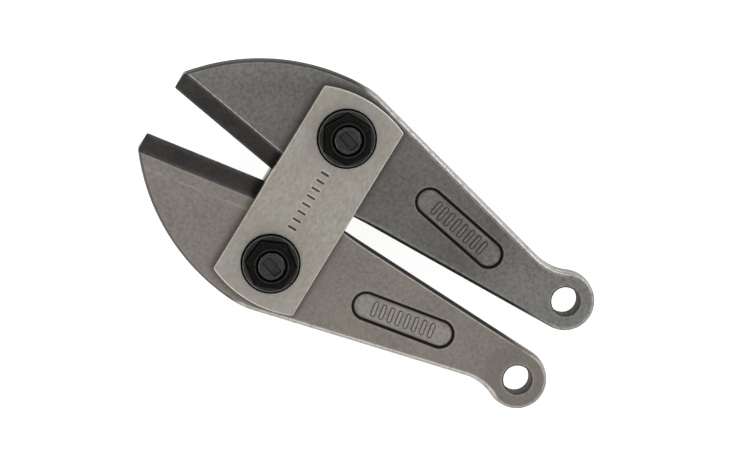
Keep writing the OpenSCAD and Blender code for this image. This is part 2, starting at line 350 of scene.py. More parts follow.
def bell(distance, width):
    """1 at no distance, and less to both sides: exp(-(distance / width)^2)."""
    return np.exp(-(distance / width) ** 2)


def soft_least(a, b, blend):
    """The lesser of a and b, rounded off where they differ by less than blend."""
    return np.minimum(a, b) - np.maximum(blend - abs(a - b), 0) ** 2 / (4 * blend)


def arc(centre, radius, start, stop, step=1.5):
    """Points along an arc, from one direction to another, in degrees."""
    count = max(2, int(np.ceil(abs(stop - start) / step)) + 1)
    return centre + radius * way(np.linspace(start, stop, count))


def ring(centre, radius, count=72):
    """A closed circle of count points."""
    a = np.arange(count) * 2 * np.pi / count
    return centre + radius * np.stack([np.cos(a), np.sin(a)], 1)


def pill(a, b, radius, step):
    """Closed loop at one distance from the segment a to b."""
    turn = heading(np.subtract(b, a))
    return np.concatenate([arc(b, radius, turn - 90, turn + 90, step),
                           arc(a, radius, turn + 90, turn + 270, step)])


def to_pill(points, a, b, radius):
    """Signed distance to a pill: below 0 inside it."""
    run = np.subtract(b, a)
    share = np.clip((points - a) @ run / (run @ run), 0, 1)
    return far(points - a, share[:, None] * run) - radius


def fill_gaps(loop, values, gap=1.0):
    """Drops repeated corners of a closed loop, and adds corners so that none are more than
    gap apart. Values that are kept at the corners are read between them."""
    fresh = np.linalg.norm(np.roll(loop, -1, 0) - loop, axis=1) > 1e-6
    loop, values = loop[fresh], values[fresh]
    length = np.linalg.norm(np.roll(loop, -1, 0) - loop, axis=1)
    s = np.concatenate([[0], np.cumsum(length)])
    extra = np.arange(0, s[-1], gap)
    extra = extra[abs(extra[:, None] - s).min(1) > 0.4 * gap]
    new = np.sort(np.concatenate([s[:-1], extra]))
    kept = np.column_stack([loop, values])
    filled = np.stack([np.interp(new, s, column) for column in np.vstack([kept, kept[:1]]).T], 1)
    return filled[:, :2], filled[:, 2:]


# %% [markdown]
# ## From a plan to a solid
# The plan is cut into triangles that respect every line where the height bends. The upper
# face takes its height from one function and the lower face from another, and the wall
# between them follows the outline with its own section, so a piece is one closed skin.

# %% A slab with two faces and a wall
def make_object(name, vertices, faces, finishes, marks, kinds=0, sharp_deg=38):
    """Vertices in mm and faces to a Blender object in metres, smooth but for sharp edges.
    marks are values kept at each vertex, and kinds numbers the finish of each face."""
    mesh = bpy.data.meshes.new(name)
    mesh.from_pydata((vertices * MM).tolist(), [], faces)
    for finish in finishes:
        mesh.materials.append(finish)
    mesh.polygons.foreach_set("material_index", np.zeros(len(faces), np.int32) + kinds)
    for mark, values in marks.items():
        mesh.attributes.new(mark, "FLOAT", "POINT").data.foreach_set(
            "value", np.asarray(values, np.float32))
    mesh.polygons.foreach_set("use_smooth", np.ones(len(faces), bool))
    mesh.set_sharp_from_angle(angle=np.radians(sharp_deg))
    mesh.validate()
    mesh.update()
    print(f"{name}: {len(vertices)} vertices, {len(faces)} faces")
    return put(name, mesh)


def lattice(xs, ys, shift):
    """Loose points in rows, with every second row moved on by shift."""
    x, y = np.meshgrid(xs, ys)
    x[1::2] += shift
    return np.stack([x.ravel(), y.ravel()], 1)


def triangulate(outline, holes, bends, lattice):
    """Triangles of the plan. outline, holes and the closed bends are loops, open bends are
    rows of points, and lattice is loose points. Lines may cross: the cut adds the crossing."""
    points, edges, start = [], [], 0
    for line, closed in [(outline, True)] + [(h, True) for h in holes] + bends:
        ids = np.arange(len(line)) + start
        points.append(line)
        edges.append(np.stack([ids, np.roll(ids, -1)], 1)[:None if closed else -1])
        start += len(line)
    points = np.concatenate(points + [lattice])
    flat, _, faces, *_ = delaunay_2d_cdt(
        [Vector(p) for p in points], np.concatenate(edges).tolist(), [], 0, 1e-5)
    flat, faces = np.array([tuple(v) for v in flat]), np.array(faces)
    middle = flat[faces].mean(1)
    keep = inside(middle, outline)
    for hole in holes:
        keep &= ~inside(middle, hole)
    faces = faces[keep]
    used, faces = np.unique(faces, return_inverse=True)
    flat, faces = flat[used], faces.reshape(-1, 3)
    a, b, c = flat[faces[:, 0]], flat[faces[:, 1]], flat[faces[:, 2]]
    area = (b - a)[:, 0] * (c - a)[:, 1] - (b - a)[:, 1] * (c - a)[:, 0]
    faces = np.where((area > 0)[:, None], faces, faces[:, ::-1])
    return flat, faces[abs(area) > 1e-9]


# The wall keeps the dark marks of the rim above it, dirt and painted shade, and little of its
# bright marks, wear and painted highlight.
WALL_SHARE = {"wear_and_highlight": 0.15, "grime_and_shade": 1.0}


def slab(plan, high, low, wall, outline, outer, marks, kinds):
    """A closed skin over a plan, between the heights high and low at its points. wall is rows
    of (share of the height between the faces, share of the way out to the outer outline).
    marks are kept at each point, and kinds numbers the finish of each face."""
    flat, faces = plan
    n = len(flat)
    run = np.stack([faces, np.roll(faces, -1, 1)], 2).reshape(-1, 2)
    _, first, count = np.unique(np.sort(run, 1), axis=0, return_index=True, return_counts=True)
    rim = run[first[count == 1]]
    rim_ids = np.unique(rim)
    gap, pick, share = nearest(flat[rim_ids], outline)
    reach = np.where((gap < 0.02)[:, None], along(outer, pick, share) - flat[rim_ids], 0)
    where = np.zeros(n, int)
    where[rim_ids] = np.arange(len(rim_ids))
    rows, ids = [], [rim_ids]
    for k, (rise, way_out) in enumerate(wall):
        z = low[rim_ids] + (high - low)[rim_ids] * rise
        rows.append(np.column_stack([flat[rim_ids] + reach * way_out, z]))
        ids.append(2 * n + k * len(rim_ids) + np.arange(len(rim_ids)))
    ids.append(rim_ids + n)
    vertices = np.concatenate([np.column_stack([flat, high]), np.column_stack([flat, low])] + rows)
    start, stop = where[rim].T
    quads = np.concatenate([np.column_stack([upper[stop], upper[start], lower[start], lower[stop]])
                            for upper, lower in zip(ids[:-1], ids[1:])])
    all_faces = faces.tolist() + (faces[:, ::-1] + n).tolist() + quads.tolist()
    kinds = np.concatenate([kinds, kinds, np.zeros(len(quads), int)])
    marks = {mark: np.concatenate([v, v] + [v[rim_ids] * WALL_SHARE[mark]] * len(wall))
             for mark, v in marks.items()}
    return vertices, all_faces, marks, kinds


# %% [markdown]
# ## The shape of a jaw
# A jaw is drawn closed, with its cutting edge along the x axis and its pivot above it: a
# blade with an arched back, a round knuckle, and a lever that ends in the handle's eye.
# The forging dies leave a draft on its sides and a thin trimmed flash line at half height.
# On the lower blade the grinder's fixture also left a faint ridge beside the bevel.

# %% Outline of a closed jaw
REST_DEG = 9.0
EDGE_REACH, HEEL_REACH, EDGE_GAP, HEEL_RELIEF = 48.2, 9.4, 0.05, 0.1
TIP_H, TIP_LEAN, TIP_R, BACK_R = 5.3, 10.5, 2.0, 64.0
SHOULDER_R, SHOULDER_X, SHOULDER_DROP = 24.0, -0.9, 8.25
EYE_REACH, EYE_RISE, EYE_R, EYE_BORE_R, NECK_R, OUTER_DEG = 82.4, 5.0, 9.1, 4.2, 16.0, 4.9
KNUCKLE_R, KNUCKLE_DEG, TOOTH_R, TOOTH_GAP, TOOTH_DEG = PIVOT_Y - 0.05, 36.0, 2.5, 0.3, 6.0
BEVEL_W, EDGE_LAND, PIVOT_BORE_R = 6.0, 0.3, 5.05
# The point of the blade is rounded over NIB: each row is a share up the end and along the edge.
NIB, NIB_ROUND = 0.7, np.array([[1, 0], [0.3, 0.08], [0.08, 0.3], [0, 1]])
RIDGE_AT, RIDGE_H = 9.6, 0.05
PLATE_HALF_W, PLATE_END_R, PLATE_SHADOW_W = 13.85, PIVOT_Y + 12.95, 2.4
DRAFT = 0.28
PIVOT = np.array([0, PIVOT_Y])
TIP = np.array([-EDGE_REACH, EDGE_GAP])
HEEL = np.array([-HEEL_REACH, EDGE_GAP + HEEL_RELIEF])


def jaw_outline(meshing):
    """Corners of the outline, counter-clockwise, with the radius of the rolled edge, the share
    of draft, and the edge's painted light: 1 for a painted highlight, -1 for painted shade.
    meshing is 1 for the jaw with the tooth, -1 for the one with the notch."""
    end_dir = way(90 + TIP_LEAN)
    end_top = TIP + TIP_H * end_dir
    shoulder = np.array([SHOULDER_X, PIVOT_Y - SHOULDER_DROP])
    base, rise_r = shoulder - end_top, BACK_R - SHOULDER_R
    swing = np.degrees(np.arccos((BACK_R ** 2 + base @ base - rise_r ** 2)
                                 / (2 * BACK_R * np.linalg.norm(base))))
    back = end_top + BACK_R * way(heading(base) - swing)
    back_deg = heading(shoulder - back)
    foot = TIP + TIP_R * way(TIP_LEAN)
    run = (foot - back) @ end_dir
    gap = (foot - back) @ (foot - back) - (BACK_R - TIP_R) ** 2
    corner = foot + (np.sqrt(run ** 2 - gap) - run) * end_dir
    eye = np.array([EYE_REACH, PIVOT_Y + EYE_RISE])
    outer_up = way(90 - OUTER_DEG)
    foot = shoulder + (SHOULDER_R + NECK_R) * outer_up
    run = (foot - eye) @ way(-OUTER_DEG)
    off = (foot - eye) @ (foot - eye) - (EYE_R + NECK_R) ** 2
    neck = foot - (run + np.sqrt(run ** 2 - off)) * way(-OUTER_DEG)
    inner = PIVOT + KNUCKLE_R * way(KNUCKLE_DEG - 90)
    inner_deg = heading(eye - inner) - np.degrees(np.arcsin(EYE_R / np.linalg.norm(eye - inner)))
    tooth = PIVOT + PIVOT_Y * way(TOOTH_DEG - 90)
    r = TOOTH_R if meshing > 0 else TOOTH_R + TOOTH_GAP
    half = 2 * np.degrees(np.arcsin(r / (2 * KNUCKLE_R)))
    mouth = [PIVOT + KNUCKLE_R * way(TOOTH_DEG - 90 + side * half) for side in (-1, 1)]
    a, b = (heading(m - tooth) for m in mouth)
    b = b + 360 * ((meshing > 0) and b < a) - 360 * ((meshing < 0) and b > a)
    inner_end = eye + EYE_R * way(inner_deg - 90)
    # The straights stop short of the arcs, so that the rolled edge changes between them.
    lever = inner + np.array([[0.15], [0.85]]) * (inner_end - inner)
    outer_start = shoulder + SHOULDER_R * outer_up
    outer_end = neck + NECK_R * way(270 - OUTER_DEG)
    flank = outer_end + np.array([[0.1], [0.9]]) * (outer_start - outer_end)
    nib = TIP + NIB * (NIB_ROUND @ [end_dir, unit(HEEL - TIP)])
    # The last number of each part is the edge's painted light: above 0 a painted highlight on an
    # outer edge, below 0 painted shade on an inner edge or the blade's back.
    parts = [
        (np.concatenate([nib, [HEEL]]), 0.25, 0, 0),
        (arc(PIVOT, KNUCKLE_R, heading(HEEL - PIVOT), TOOTH_DEG - 90 - half), 0.3, 0, 0),
        (arc(tooth, r, a, b, 12)[1:-1], 0.2, 0, 0),
        (arc(PIVOT, KNUCKLE_R, TOOTH_DEG - 90 + half, KNUCKLE_DEG - 90), 0.3, 0, -1),
        (lever, 1.0, 1, -1),
        (arc(eye, EYE_R, inner_deg - 90, heading(neck - eye)), 1.0, 1, 0.7),
        (arc(neck, NECK_R, heading(eye - neck) + 360, 270 - OUTER_DEG), 1.3, 1, 1),
        (flank, 1.3, 1, 1),
        (arc(shoulder, SHOULDER_R, 90 - OUTER_DEG, back_deg), 1.2, 1, 0.7),
        (arc(back, BACK_R, back_deg, heading(corner - back), 1), 0.7, 1, -0.7),
        (arc(corner, TIP_R, heading(corner - back), 180 + TIP_LEAN, 6), 0.5, 0.5, -0.5),
    ]
    points = np.concatenate([part[0] for part in parts])
    values = np.concatenate([np.tile(part[1:], (len(part[0]), 1)) for part in parts])
    points, values = fill_gaps(points, values)
    blur = np.ones(7) / 7
    roll, draft, rub = (np.convolve(np.concatenate([v[-3:], v, v[:3]]), blur, "valid")
                        for v in values.T)
    draft = draft * smooth_step((points - TIP) @ way(90) / 2.5)
    return points, roll, draft, rub, eye


# %% [markdown]
# ## The recessed panel
# Near the root of each lever the die leaves a pill-shaped recess with raised marks, where a
# maker would show the alloy and the size. Here the marks are plain bars.

# %% Panel and bars
PANEL_X, PANEL_RISE, PANEL_LEN, PANEL_DEG, PANEL_R, PANEL_DEPTH = 31.7, 1.45, 23.7, 1.2, 4.4, 0.7
BAR_COUNT, BAR_PITCH, BAR_W, BAR_L, BAR_H = 8, 2.6, 1.1, 4.4, 0.5
WALL_W = 0.75
PANEL_A = PIVOT + [PANEL_X, PANEL_RISE]
PANEL_B = PANEL_A + PANEL_LEN * way(-PANEL_DEG)
BAR_REACH = (BAR_L - BAR_W) / 2 * way(90 - PANEL_DEG)
BAR_MID = [(PANEL_A + PANEL_B) / 2 + (i - (BAR_COUNT - 1) / 2) * BAR_PITCH * way(-PANEL_DEG)
           for i in range(BAR_COUNT)]
BAR_ENDS = [(middle - BAR_REACH, middle + BAR_REACH) for middle in BAR_MID]


def to_panel(points):
    """Signed distance to the panel's edge: below 0 inside it."""
    return to_pill(points, PANEL_A, PANEL_B, PANEL_R)


def to_bars(points):
    """Signed distance to the nearest bar."""
    return np.min([to_pill(points, a, b, BAR_W / 2) for a, b in BAR_ENDS], 0)


def panel_drop(points):
    """How far the panel takes the face down: a rounded wall round the pill, less the bars."""
    drop = PANEL_DEPTH * smooth_step(-to_panel(points) / WALL_W)
    return np.maximum(drop - BAR_H * smooth_step(0.5 - to_bars(points) / 0.5), 0)


def panel_bends():
    """The loops where the panel's height bends."""
    loops = [(pill(PANEL_A, PANEL_B, PANEL_R - d, 7), True)
             for d in (-0.45, -0.3, -0.14, 0.0, 0.12, 0.25, 0.375, 0.5, 0.63,
                       WALL_W, WALL_W + 0.15)]
    for a, b in BAR_ENDS:
        loops += [(pill(a, b, BAR_W / 2 + d, 30), True)
                  for d in (-0.25, -0.1, 0.0, 0.1, 0.25, 0.42, 0.62)]
    return loops


# %% [markdown]
# ## A jaw, face by face
# The face of a jaw is flat in the drawing but never in the steel: a hammer blow and a
# tumbling drum leave it rolling by a few hundredths of a millimetre, and that is what makes
# the light wander over it. The bevel is a plane that meets the face in a soft crease.

# %% Height of a jaw's face
WAVES = np.random.default_rng(7).uniform(0, 2 * np.pi, (9, 2))


def undulation(points, depth=0.035):
    """A sum of nine sine waves, 9 to 30 mm long, in all directions, never above zero."""
    total = np.zeros(len(points))
    for k, (turn, phase) in enumerate(WAVES):
        along_wave = points @ np.array([np.cos(turn), np.sin(turn)])
        total += np.sin(along_wave * 2 * np.pi / (9 + 2.6 * k) + phase)
    return depth * (total / 9 - 1) / 2


def bevel_height(points):
    """Distance from the cutting edge, and half thickness on the bevel: a plane from the land
    up to the face, which the wheel leaves in a curve just past the heel."""
    edge = unit(HEEL - TIP)
    off = points - TIP
    s = off[:, 1] * edge[0] - off[:, 0] * edge[1]
    land = EDGE_LAND / 2
    run_out = np.maximum(points[:, 0] - (HEEL[0] - 1.5), 0) ** 2 * 1.1
    return s, land + (HALF - land) * np.maximum(s, 0) / BEVEL_W + run_out


def opened(points):
    """A closed upper jaw's plan, turned open about its pivot and moved to its place."""
    spin = np.array([way(-REST_DEG), way(90 - REST_DEG)])
    return (points - PIVOT) @ spin + [PIVOT_X, PIVOT_Y]


Jaw = namedtuple("Jaw", "side outer outline roll rub eye")
CALM_W, CREASE_BLEND, RIDGE_W = 4.0, 0.12, 0.3
EYE_CHAMFER, PIVOT_CHAMFER = 0.6, 0.3


def jaw_height(jaw, points):
    """Half thickness of a jaw: its rolling face, turned down by a quarter round at the rim and
    cut by the bevel, less the step beside the bevel, the chamfers and the panel."""
    gap, pick, share = nearest(points, jaw.outline)
    r = along(jaw.roll, pick, share)
    face = HALF + undulation(points) * smooth_step(gap / CALM_W)
    face = face - r + np.sqrt(np.maximum(r ** 2 - (r - np.minimum(gap, r)) ** 2, 0))
    s, bevel = bevel_height(points)
    if jaw.side < 0:
        step = smooth_step((RIDGE_AT - s) / RIDGE_W + 0.5) * (points[:, 0] < HEEL[0])
        face = face - RIDGE_H * step
    high = np.maximum(soft_least(face, bevel, CREASE_BLEND), EDGE_LAND / 2)
    for centre, radius, chamfer in ((jaw.eye, EYE_BORE_R, EYE_CHAMFER),
                                    (PIVOT, PIVOT_BORE_R, PIVOT_CHAMFER)):
        lip = np.clip(1 - (far(points, centre) - radius) / chamfer, 0, 1)
        high = high - chamfer * (1 - np.sqrt(1 - lip ** 2))
    return high - panel_drop(points)


# %% [markdown]
# ## Painted light and shade on a jaw
# The bright marks are painted highlights on the outer rims, the crease, the ridge and the eye's
# chamfer, painted sheen along the upper blade's back, and a lighter tone on the blade, the
# cutting edge and the lever's end. The dark marks are painted shade on the inner edges and in the
# foot of a wall, a painted shadow beside the plate, and darker steel round the eye. Each mark is
# a bell or a step of a distance, from 0 to 1, and where two marks meet the stronger one wins.

# %% Marks on a jaw
FACE_BAND, BEVEL_SHADOW_W = 0.3, 3.5


def edge_marks(jaw, points, gap, r, rub):
    """Along the rims, the crease, the cutting edge and the ridge. Where the edge's light value is
    above 0 the rolled edge gets a painted highlight, and where it is below 0 painted shade, with a
    thin painted highlight line beside it. The crease and the ridge get painted highlight lines,
    and the cutting edge a lighter line."""
    upper, on_blade, on_lever = jaw.side > 0, points[:, 0] < HEEL[0], points[:, 0] > 0
    s, bevel = bevel_height(points)
    on_face = bevel > HALF - FACE_BAND
    # Painted light on the rims: a lit band on the outer edges, painted shade on the inner edges
    # and the blade's back (less of it on the lower blade), and a thin painted highlight line
    # beside both.
    if not upper:
        rub = np.where(on_blade, np.maximum(rub, -0.55), rub)
    reach = np.where(on_lever & (not upper), 0.6, 0.95)
    line = bell(gap - (reach + 0.2) * r, 0.12) * np.where(on_lever, 0.6, 0.65 if upper else 0.2)
    lit_band = smooth_step((1.05 * r - gap) / (0.25 * r))
    rim = np.maximum(0.75 * np.maximum(rub, 0) * lit_band, abs(rub) * line)
    edge_shade = np.maximum(-rub, 0) * smooth_step((reach * r - gap) / (0.3 * r))
    # Painted highlight lines along the crease and the ridge, and a lighter line along the cutting
    # edge.
    crease_highlight = bell(s - BEVEL_W, 0.22) * (0.6 if upper else 0.3)
    ridge_highlight = bell(s - RIDGE_AT, 0.2) * (0.0 if upper else 0.3)
    blade = np.maximum.reduce([crease_highlight, 0.5 * bell(s, 0.25), ridge_highlight * on_face]) * on_blade
    return np.maximum(blade, rim * on_face), 0.85 * edge_shade * on_face


def panel_marks(jaw, points):
    """Painted shade in the panel's wall and at the foot of the bars. Painted highlights inside and
    outside the wall and on the bars' tops, and a lighter tone on its floor.
    """
    panel, bar = to_panel(points), to_bars(points)
    floor_tone = 0.12 if jaw.side > 0 else 0.24
    # Painted shade in the panel's wall and at the foot of each bar.
    grime_and_shade = np.maximum(0.95 * smooth_step((0.62 - abs(panel + 0.5 * WALL_W)) / 0.3),
                       0.65 * bell(bar - 0.1, 0.2))
    # Painted highlights on the floor beside the wall, just outside the rim and on the bars' tops,
    # and a lighter floor.
    wear_and_highlight = [0.45 * bell(panel + 1.6 * WALL_W, 0.2), 0.3 * bell(panel - 0.3, 0.12),
            floor_tone * smooth_step((-panel - WALL_W) / 0.5), 0.12 * bell(bar + 0.4, 0.25)]
    return np.maximum.reduce(wear_and_highlight), grime_and_shade


def handling_marks(jaw, points, gap):
    """A painted shadow of the plate on the face and the bevel beside it, a darker ring at the
    edge of the eye's bore with a painted highlight on its chamfer, painted sheen along the upper
    blade's back, a lighter tone on the blade and the lever's end, and on the lower jaw darker
    steel round the eye."""
    s, bevel = bevel_height(points)
    on_face = bevel > HALF - FACE_BAND
    hole = far(points, jaw.eye) - EYE_BORE_R
    x, y = (opened(points) - [PIVOT_X, 0]).T
    from_plate = np.maximum(abs(x) - PLATE_HALF_W, np.hypot(x, y) - PLATE_END_R)
    # Painted shadow that the plate casts on the face and on the bevel beside it.
    plate_shadow = 0.45 * smooth_step((PLATE_SHADOW_W - from_plate) / PLATE_SHADOW_W) ** 2 * smooth_step(gap / 2)
    shade = 0.8 * smooth_step((BEVEL_SHADOW_W - from_plate) / BEVEL_SHADOW_W)
    grime_and_shade = [0.6 * smooth_step((0.5 - hole) / 0.3), plate_shadow * on_face,
             shade * (s < BEVEL_W) * ~on_face]
    blade = smooth_step((-10 - points[:, 0]) / 14)
    # Painted sheen along the upper blade's back, and a lighter tone over the blade and the lever's
    # end; on the lower jaw the steel round the eye is darker.
    if jaw.side > 0:
        sheen_and_tone = (0.08 * blade + 0.12 * blade * smooth_step((9 - gap) / 9)
                   + 0.17 * smooth_step((points[:, 0] - 50) / 26))
    else:
        sheen_and_tone = 0.03 * blade
        grime_and_shade.append(0.16 * smooth_step((EYE_R - hole) / 4))
    # A painted highlight ring on the eye's chamfer.
    wear_and_highlight = np.maximum(0.4 * bell(hole - 0.72, 0.13), sheen_and_tone * on_face)
    return wear_and_highlight, np.maximum.reduce(grime_and_shade)


def jaw_marks(jaw, points):
    """The strongest bright mark and the strongest dark mark at each point."""
    gap, pick, share = nearest(points, jaw.outline)
    r, rub = along(jaw.roll, pick, share), along(jaw.rub, pick, share)
    found = (edge_marks(jaw, points, gap, r, rub), panel_marks(jaw, points),
             handling_marks(jaw, points, gap))
    wear_and_highlight, grime_and_shade = (np.clip(np.maximum.reduce(kind), 0, 1) for kind in zip(*found))
    return {"wear_and_highlight": wear_and_highlight, "grime_and_shade": grime_and_shade}


# %% [markdown]
# ## The plan of a jaw
# The mesh is fine only where a line of the plan needs it: rings round the bores, loops
# inside the rim, and rules along the bevel. A plain lattice fills the rest, and keeps clear
# of those lines, so that no triangle is a sliver.

# %% Two jaws
JAW_GAP, ROW_SHARE = 1.15, 0.866
JAW_WALL = [(0.95, 0.25), (0.63, 0.85), (0.59, 1.0), (0.41, 1.0), (0.37, 0.85), (0.05, 0.25)]
ROLL_STEPS = (0.03, 0.12, 0.27, 0.46, 0.65, 0.8, 1.0, 1.15, 1.32)


def jaw_bends(jaw):
    """The lines along which a jaw's height or its marks bend."""
    out, edge = mitres(jaw.outer), unit(HEEL - TIP)
    across = np.array([-edge[1], edge[0]])
    bends = [(jaw.outline - out * (jaw.roll * d)[:, None], True) for d in ROLL_STEPS]
    rules = [EDGE_LAND] + [BEVEL_W + d for d in (-0.25, -0.12, 0, 0.12, 0.3)]
    rules += [RIDGE_AT + d for d in (-0.2, 0, 0.2)] if jaw.side < 0 else []
    run = edge * np.linspace(-9, EDGE_REACH - HEEL_REACH + 4, 40)[:, None]
    for d in rules:
        line = TIP + across * d + run
        bends.append((line[inside(line, jaw.outline)], False))
    bends += [(ring(jaw.eye, EYE_BORE_R + d), True) for d in (0.08, 0.25, 0.6, 0.74, 0.9)]
    bends += [(ring(PIVOT, PIVOT_BORE_R + d), True) for d in (0.05, 0.3, 0.4)]
    return bends + panel_bends()


def jaw_lattice(jaw):
    """Loose points that fill the plan and keep clear of its lines."""
    low, high = jaw.outer.min(0), jaw.outer.max(0)
    grid = lattice(np.arange(low[0], high[0], JAW_GAP),
                   np.arange(low[1], high[1], JAW_GAP * ROW_SHARE), JAW_GAP / 2)
    s, panel = bevel_height(grid)[0], to_panel(grid)
    clear = (abs(s - BEVEL_W) > 0.6) & (abs(s - RIDGE_AT) > 0.4) & (to_bars(grid) > 0.9)
    clear &= (panel > 0.7) | (panel < -WALL_W - 0.5)
    clear &= (far(grid, jaw.eye) > EYE_BORE_R + 1.2) & (far(grid, PIVOT) > PIVOT_BORE_R + 0.9)
    grid = grid[clear & inside(grid, jaw.outline)]
    gap, pick, share = nearest(grid, jaw.outline)
    return grid[gap > along(jaw.roll, pick, share) * 1.15 + 0.4]


def make_jaw(name, meshing, side, finish):
    """One jaw as a closed skin. side is 1 for the upper jaw and -1 for the lower."""
    outer, roll, draft, rub, eye = jaw_outline(meshing)
    outline = outer - mitres(outer) * (draft * DRAFT)[:, None]
    jaw = Jaw(side, outer, outline, roll, rub, eye)
    holes = [ring(eye, EYE_BORE_R), ring(PIVOT, PIVOT_BORE_R)]
    flat, faces = triangulate(outline, holes, jaw_bends(jaw), jaw_lattice(jaw))
    s, bevel = bevel_height(flat[faces].mean(1))
    kinds = ((s < BEVEL_W) & (bevel < HALF)).astype(int)
    high = jaw_height(jaw, flat)
    vertices, faces, marks, kinds = slab((flat, faces), high, -high, JAW_WALL, outline, outer,
                                         jaw_marks(jaw, flat), kinds)
    vertices[:, :2] = opened(vertices[:, :2])
    vertices[:, 2] += JAW_MID
    if side < 0:
        vertices[:, 1] *= -1
        faces = [face[::-1] for face in faces]
    return make_object(name, vertices, faces, [finish, GROUND], marks, kinds)


upper_jaw = make_jaw("upper_jaw_forging", -1, 1, FORGED)
lower_jaw = make_jaw("lower_jaw_forging", 1, -1, FORGED_WARM)
for jaw, node in ((upper_jaw, "upper_jaw"), (lower_jaw, "lower_jaw")):
    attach(jaw, node)
    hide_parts(node)

# %% [markdown]
# ## Link plates
# A link plate is blanked from strip: straight sides, and ends that are parts of one circle.
# The press rolls its edges over, and the belt grinder leaves a small chamfer that gets a
# painted highlight. The front plate has a short row of strokes stamped in it, drawn darker.

# %% The two link plates
PLATE_CHAMFER, PLATE_CORNER_R, PLATE_WALL = 0.4, 1.0, [(0.7, 0), (0.3, 0)]
MARK_COUNT, MARK_PITCH, MARK_W, MARK_L, MARK_DEPTH = 8, 2.7, 0.8, 3.0, 0.25
STROKE_R, MARK_REACH = MARK_W / 2 - 0.1, (MARK_L - MARK_W) / 2
MARKS = [((-MARK_REACH, y), (MARK_REACH, y))
         for y in (np.arange(MARK_COUNT) - (MARK_COUNT - 1) / 2) * MARK_PITCH]


def plate_outline():
    """Straight sides, with both ends on one circle round the plate's middle, and small
    round corners between them that touch both."""
    r = PLATE_CORNER_R
    x = PLATE_HALF_W - r
    y = np.sqrt((PLATE_END_R - r) ** 2 - x ** 2)
    turn = heading((x, y))
    end = np.concatenate([arc((x, y), r, 0, turn, 10), arc((0, 0), PLATE_END_R, turn, 180 - turn),
                          arc((-x, y), r, 180 - turn, 180, 10)])
    return fill_gaps(np.concatenate([end, -end]), np.zeros((2 * len(end), 1)))[0]


def make_plate(name, low_z, strokes):
    """A link plate as a closed skin, with the strokes stamped in its upper face."""
    outline = plate_outline()
    out, c = mitres(outline), PLATE_CHAMFER
    holes = [ring((0, side * PIVOT_Y), PIVOT_BORE_R) for side in (-1, 1)]
    bends = [(outline - out * d, True) for d in (0.03, 0.08, 0.17, 0.28, 0.4, 0.55)]
    grid = lattice(np.arange(-13, 13.1, 1.2), np.arange(-34, 34.1, 1.04), 0.6)
    clear = inside(grid, outline)
    for side in (-1, 1):
        clear &= far(grid, (0, side * PIVOT_Y)) > PIVOT_BORE_R + 0.6
    for a, b in strokes:
        bends += [(pill(a, b, STROKE_R + d, 30), True) for d in (-0.15, -0.07, 0.07, 0.15)]
        clear &= to_pill(grid, a, b, MARK_W / 2) > 0.4
    grid = grid[clear]
    grid = grid[nearest(grid, outline)[0] > 1.0]
    flat, faces = triangulate(outline, holes, bends, grid)
    gap = nearest(flat, outline)[0]
    face = -c + np.sqrt(np.maximum(c ** 2 - (c - np.minimum(gap, c)) ** 2, 0))
    face = face + undulation(flat, 0.012) * smooth_step(gap / 3)
    sunk = np.zeros(len(flat))
    for a, b in strokes:
        sunk = np.maximum(sunk, smooth_step(0.5 - to_pill(flat, a, b, STROKE_R) / 0.3))
    # A painted highlight along the chamfer, and darker stamped strokes.
    marks = {"wear_and_highlight": 0.26 * bell(gap - 0.22, 0.2), "grime_and_shade": 0.85 * sunk}
    vertices, faces, marks, _ = slab(
        (flat, faces), low_z + PLATE_T + face - MARK_DEPTH * sunk, low_z - face,
        PLATE_WALL, outline, outline, marks, np.zeros(len(faces), int))
    vertices[:, 0] += PIVOT_X
    return make_object(name, vertices, faces, [SATIN], marks)


front_plate = make_plate("front_plate_stamped", FRONT_Z, MARKS)
rear_plate = make_plate("rear_plate_plain", HEAD_H, [])
for plate, node in ((front_plate, "front_link_plate"), (rear_plate, "rear_link_plate")):
    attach(plate, "link_frame")
    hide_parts(node)

# %% [markdown]
# ## Flange nuts and bolts
# These are turned or cold-headed, so they are surfaces of revolution: a profile of radius
# and height, carried round the axis. The hexagon is the same profile with its radius held
# to the hexagon's own, and the thread is a ripple that climbs by one pitch for each turn.

# %% Profiles of the threaded pieces
HEX_HALF, RIM_R, FLANGE_T, FLANGE_SLOPE = 6.5, 8.95, 1.2, np.tan(np.radians(22))
RIM_LOW, RIM_TOP, FILLET, CHAMFER_SLOPE = 0.3, 0.35, 0.25, np.tan(np.radians(30))
THREAD_R, THREAD_DEPTH, PITCH, SHOULDER = 4.0, 0.70, 1.25, 5.0
TURNS, NUT_SHARP_DEG = 144, 32
THETA = np.arange(TURNS) * 2 * np.pi / TURNS
# Radius of the hexagon in each direction, with its corners held back by a soft limit.
SIX = soft_least(HEX_HALF / np.cos(np.mod(THETA, np.pi / 3) - np.pi / 6),
                 np.full(TURNS, HEX_HALF / np.cos(np.pi / 6)), 0.35)


def thread(theta, z):
    """Radius of the thread: a V ripple with flat crests and roots, climbing a pitch a turn."""
    wave = abs(np.mod(z / PITCH - theta / (2 * np.pi), 1) - 0.5) * 2
    return THREAD_R - THREAD_DEPTH * np.clip((wave - 0.12) / 0.70, 0, 1)


def turned(*pairs):
    """Rows that go round the axis, one for each pair of a radius and a height."""
    return [(np.full(TURNS, r), np.full(TURNS, z)) for r, z in pairs]


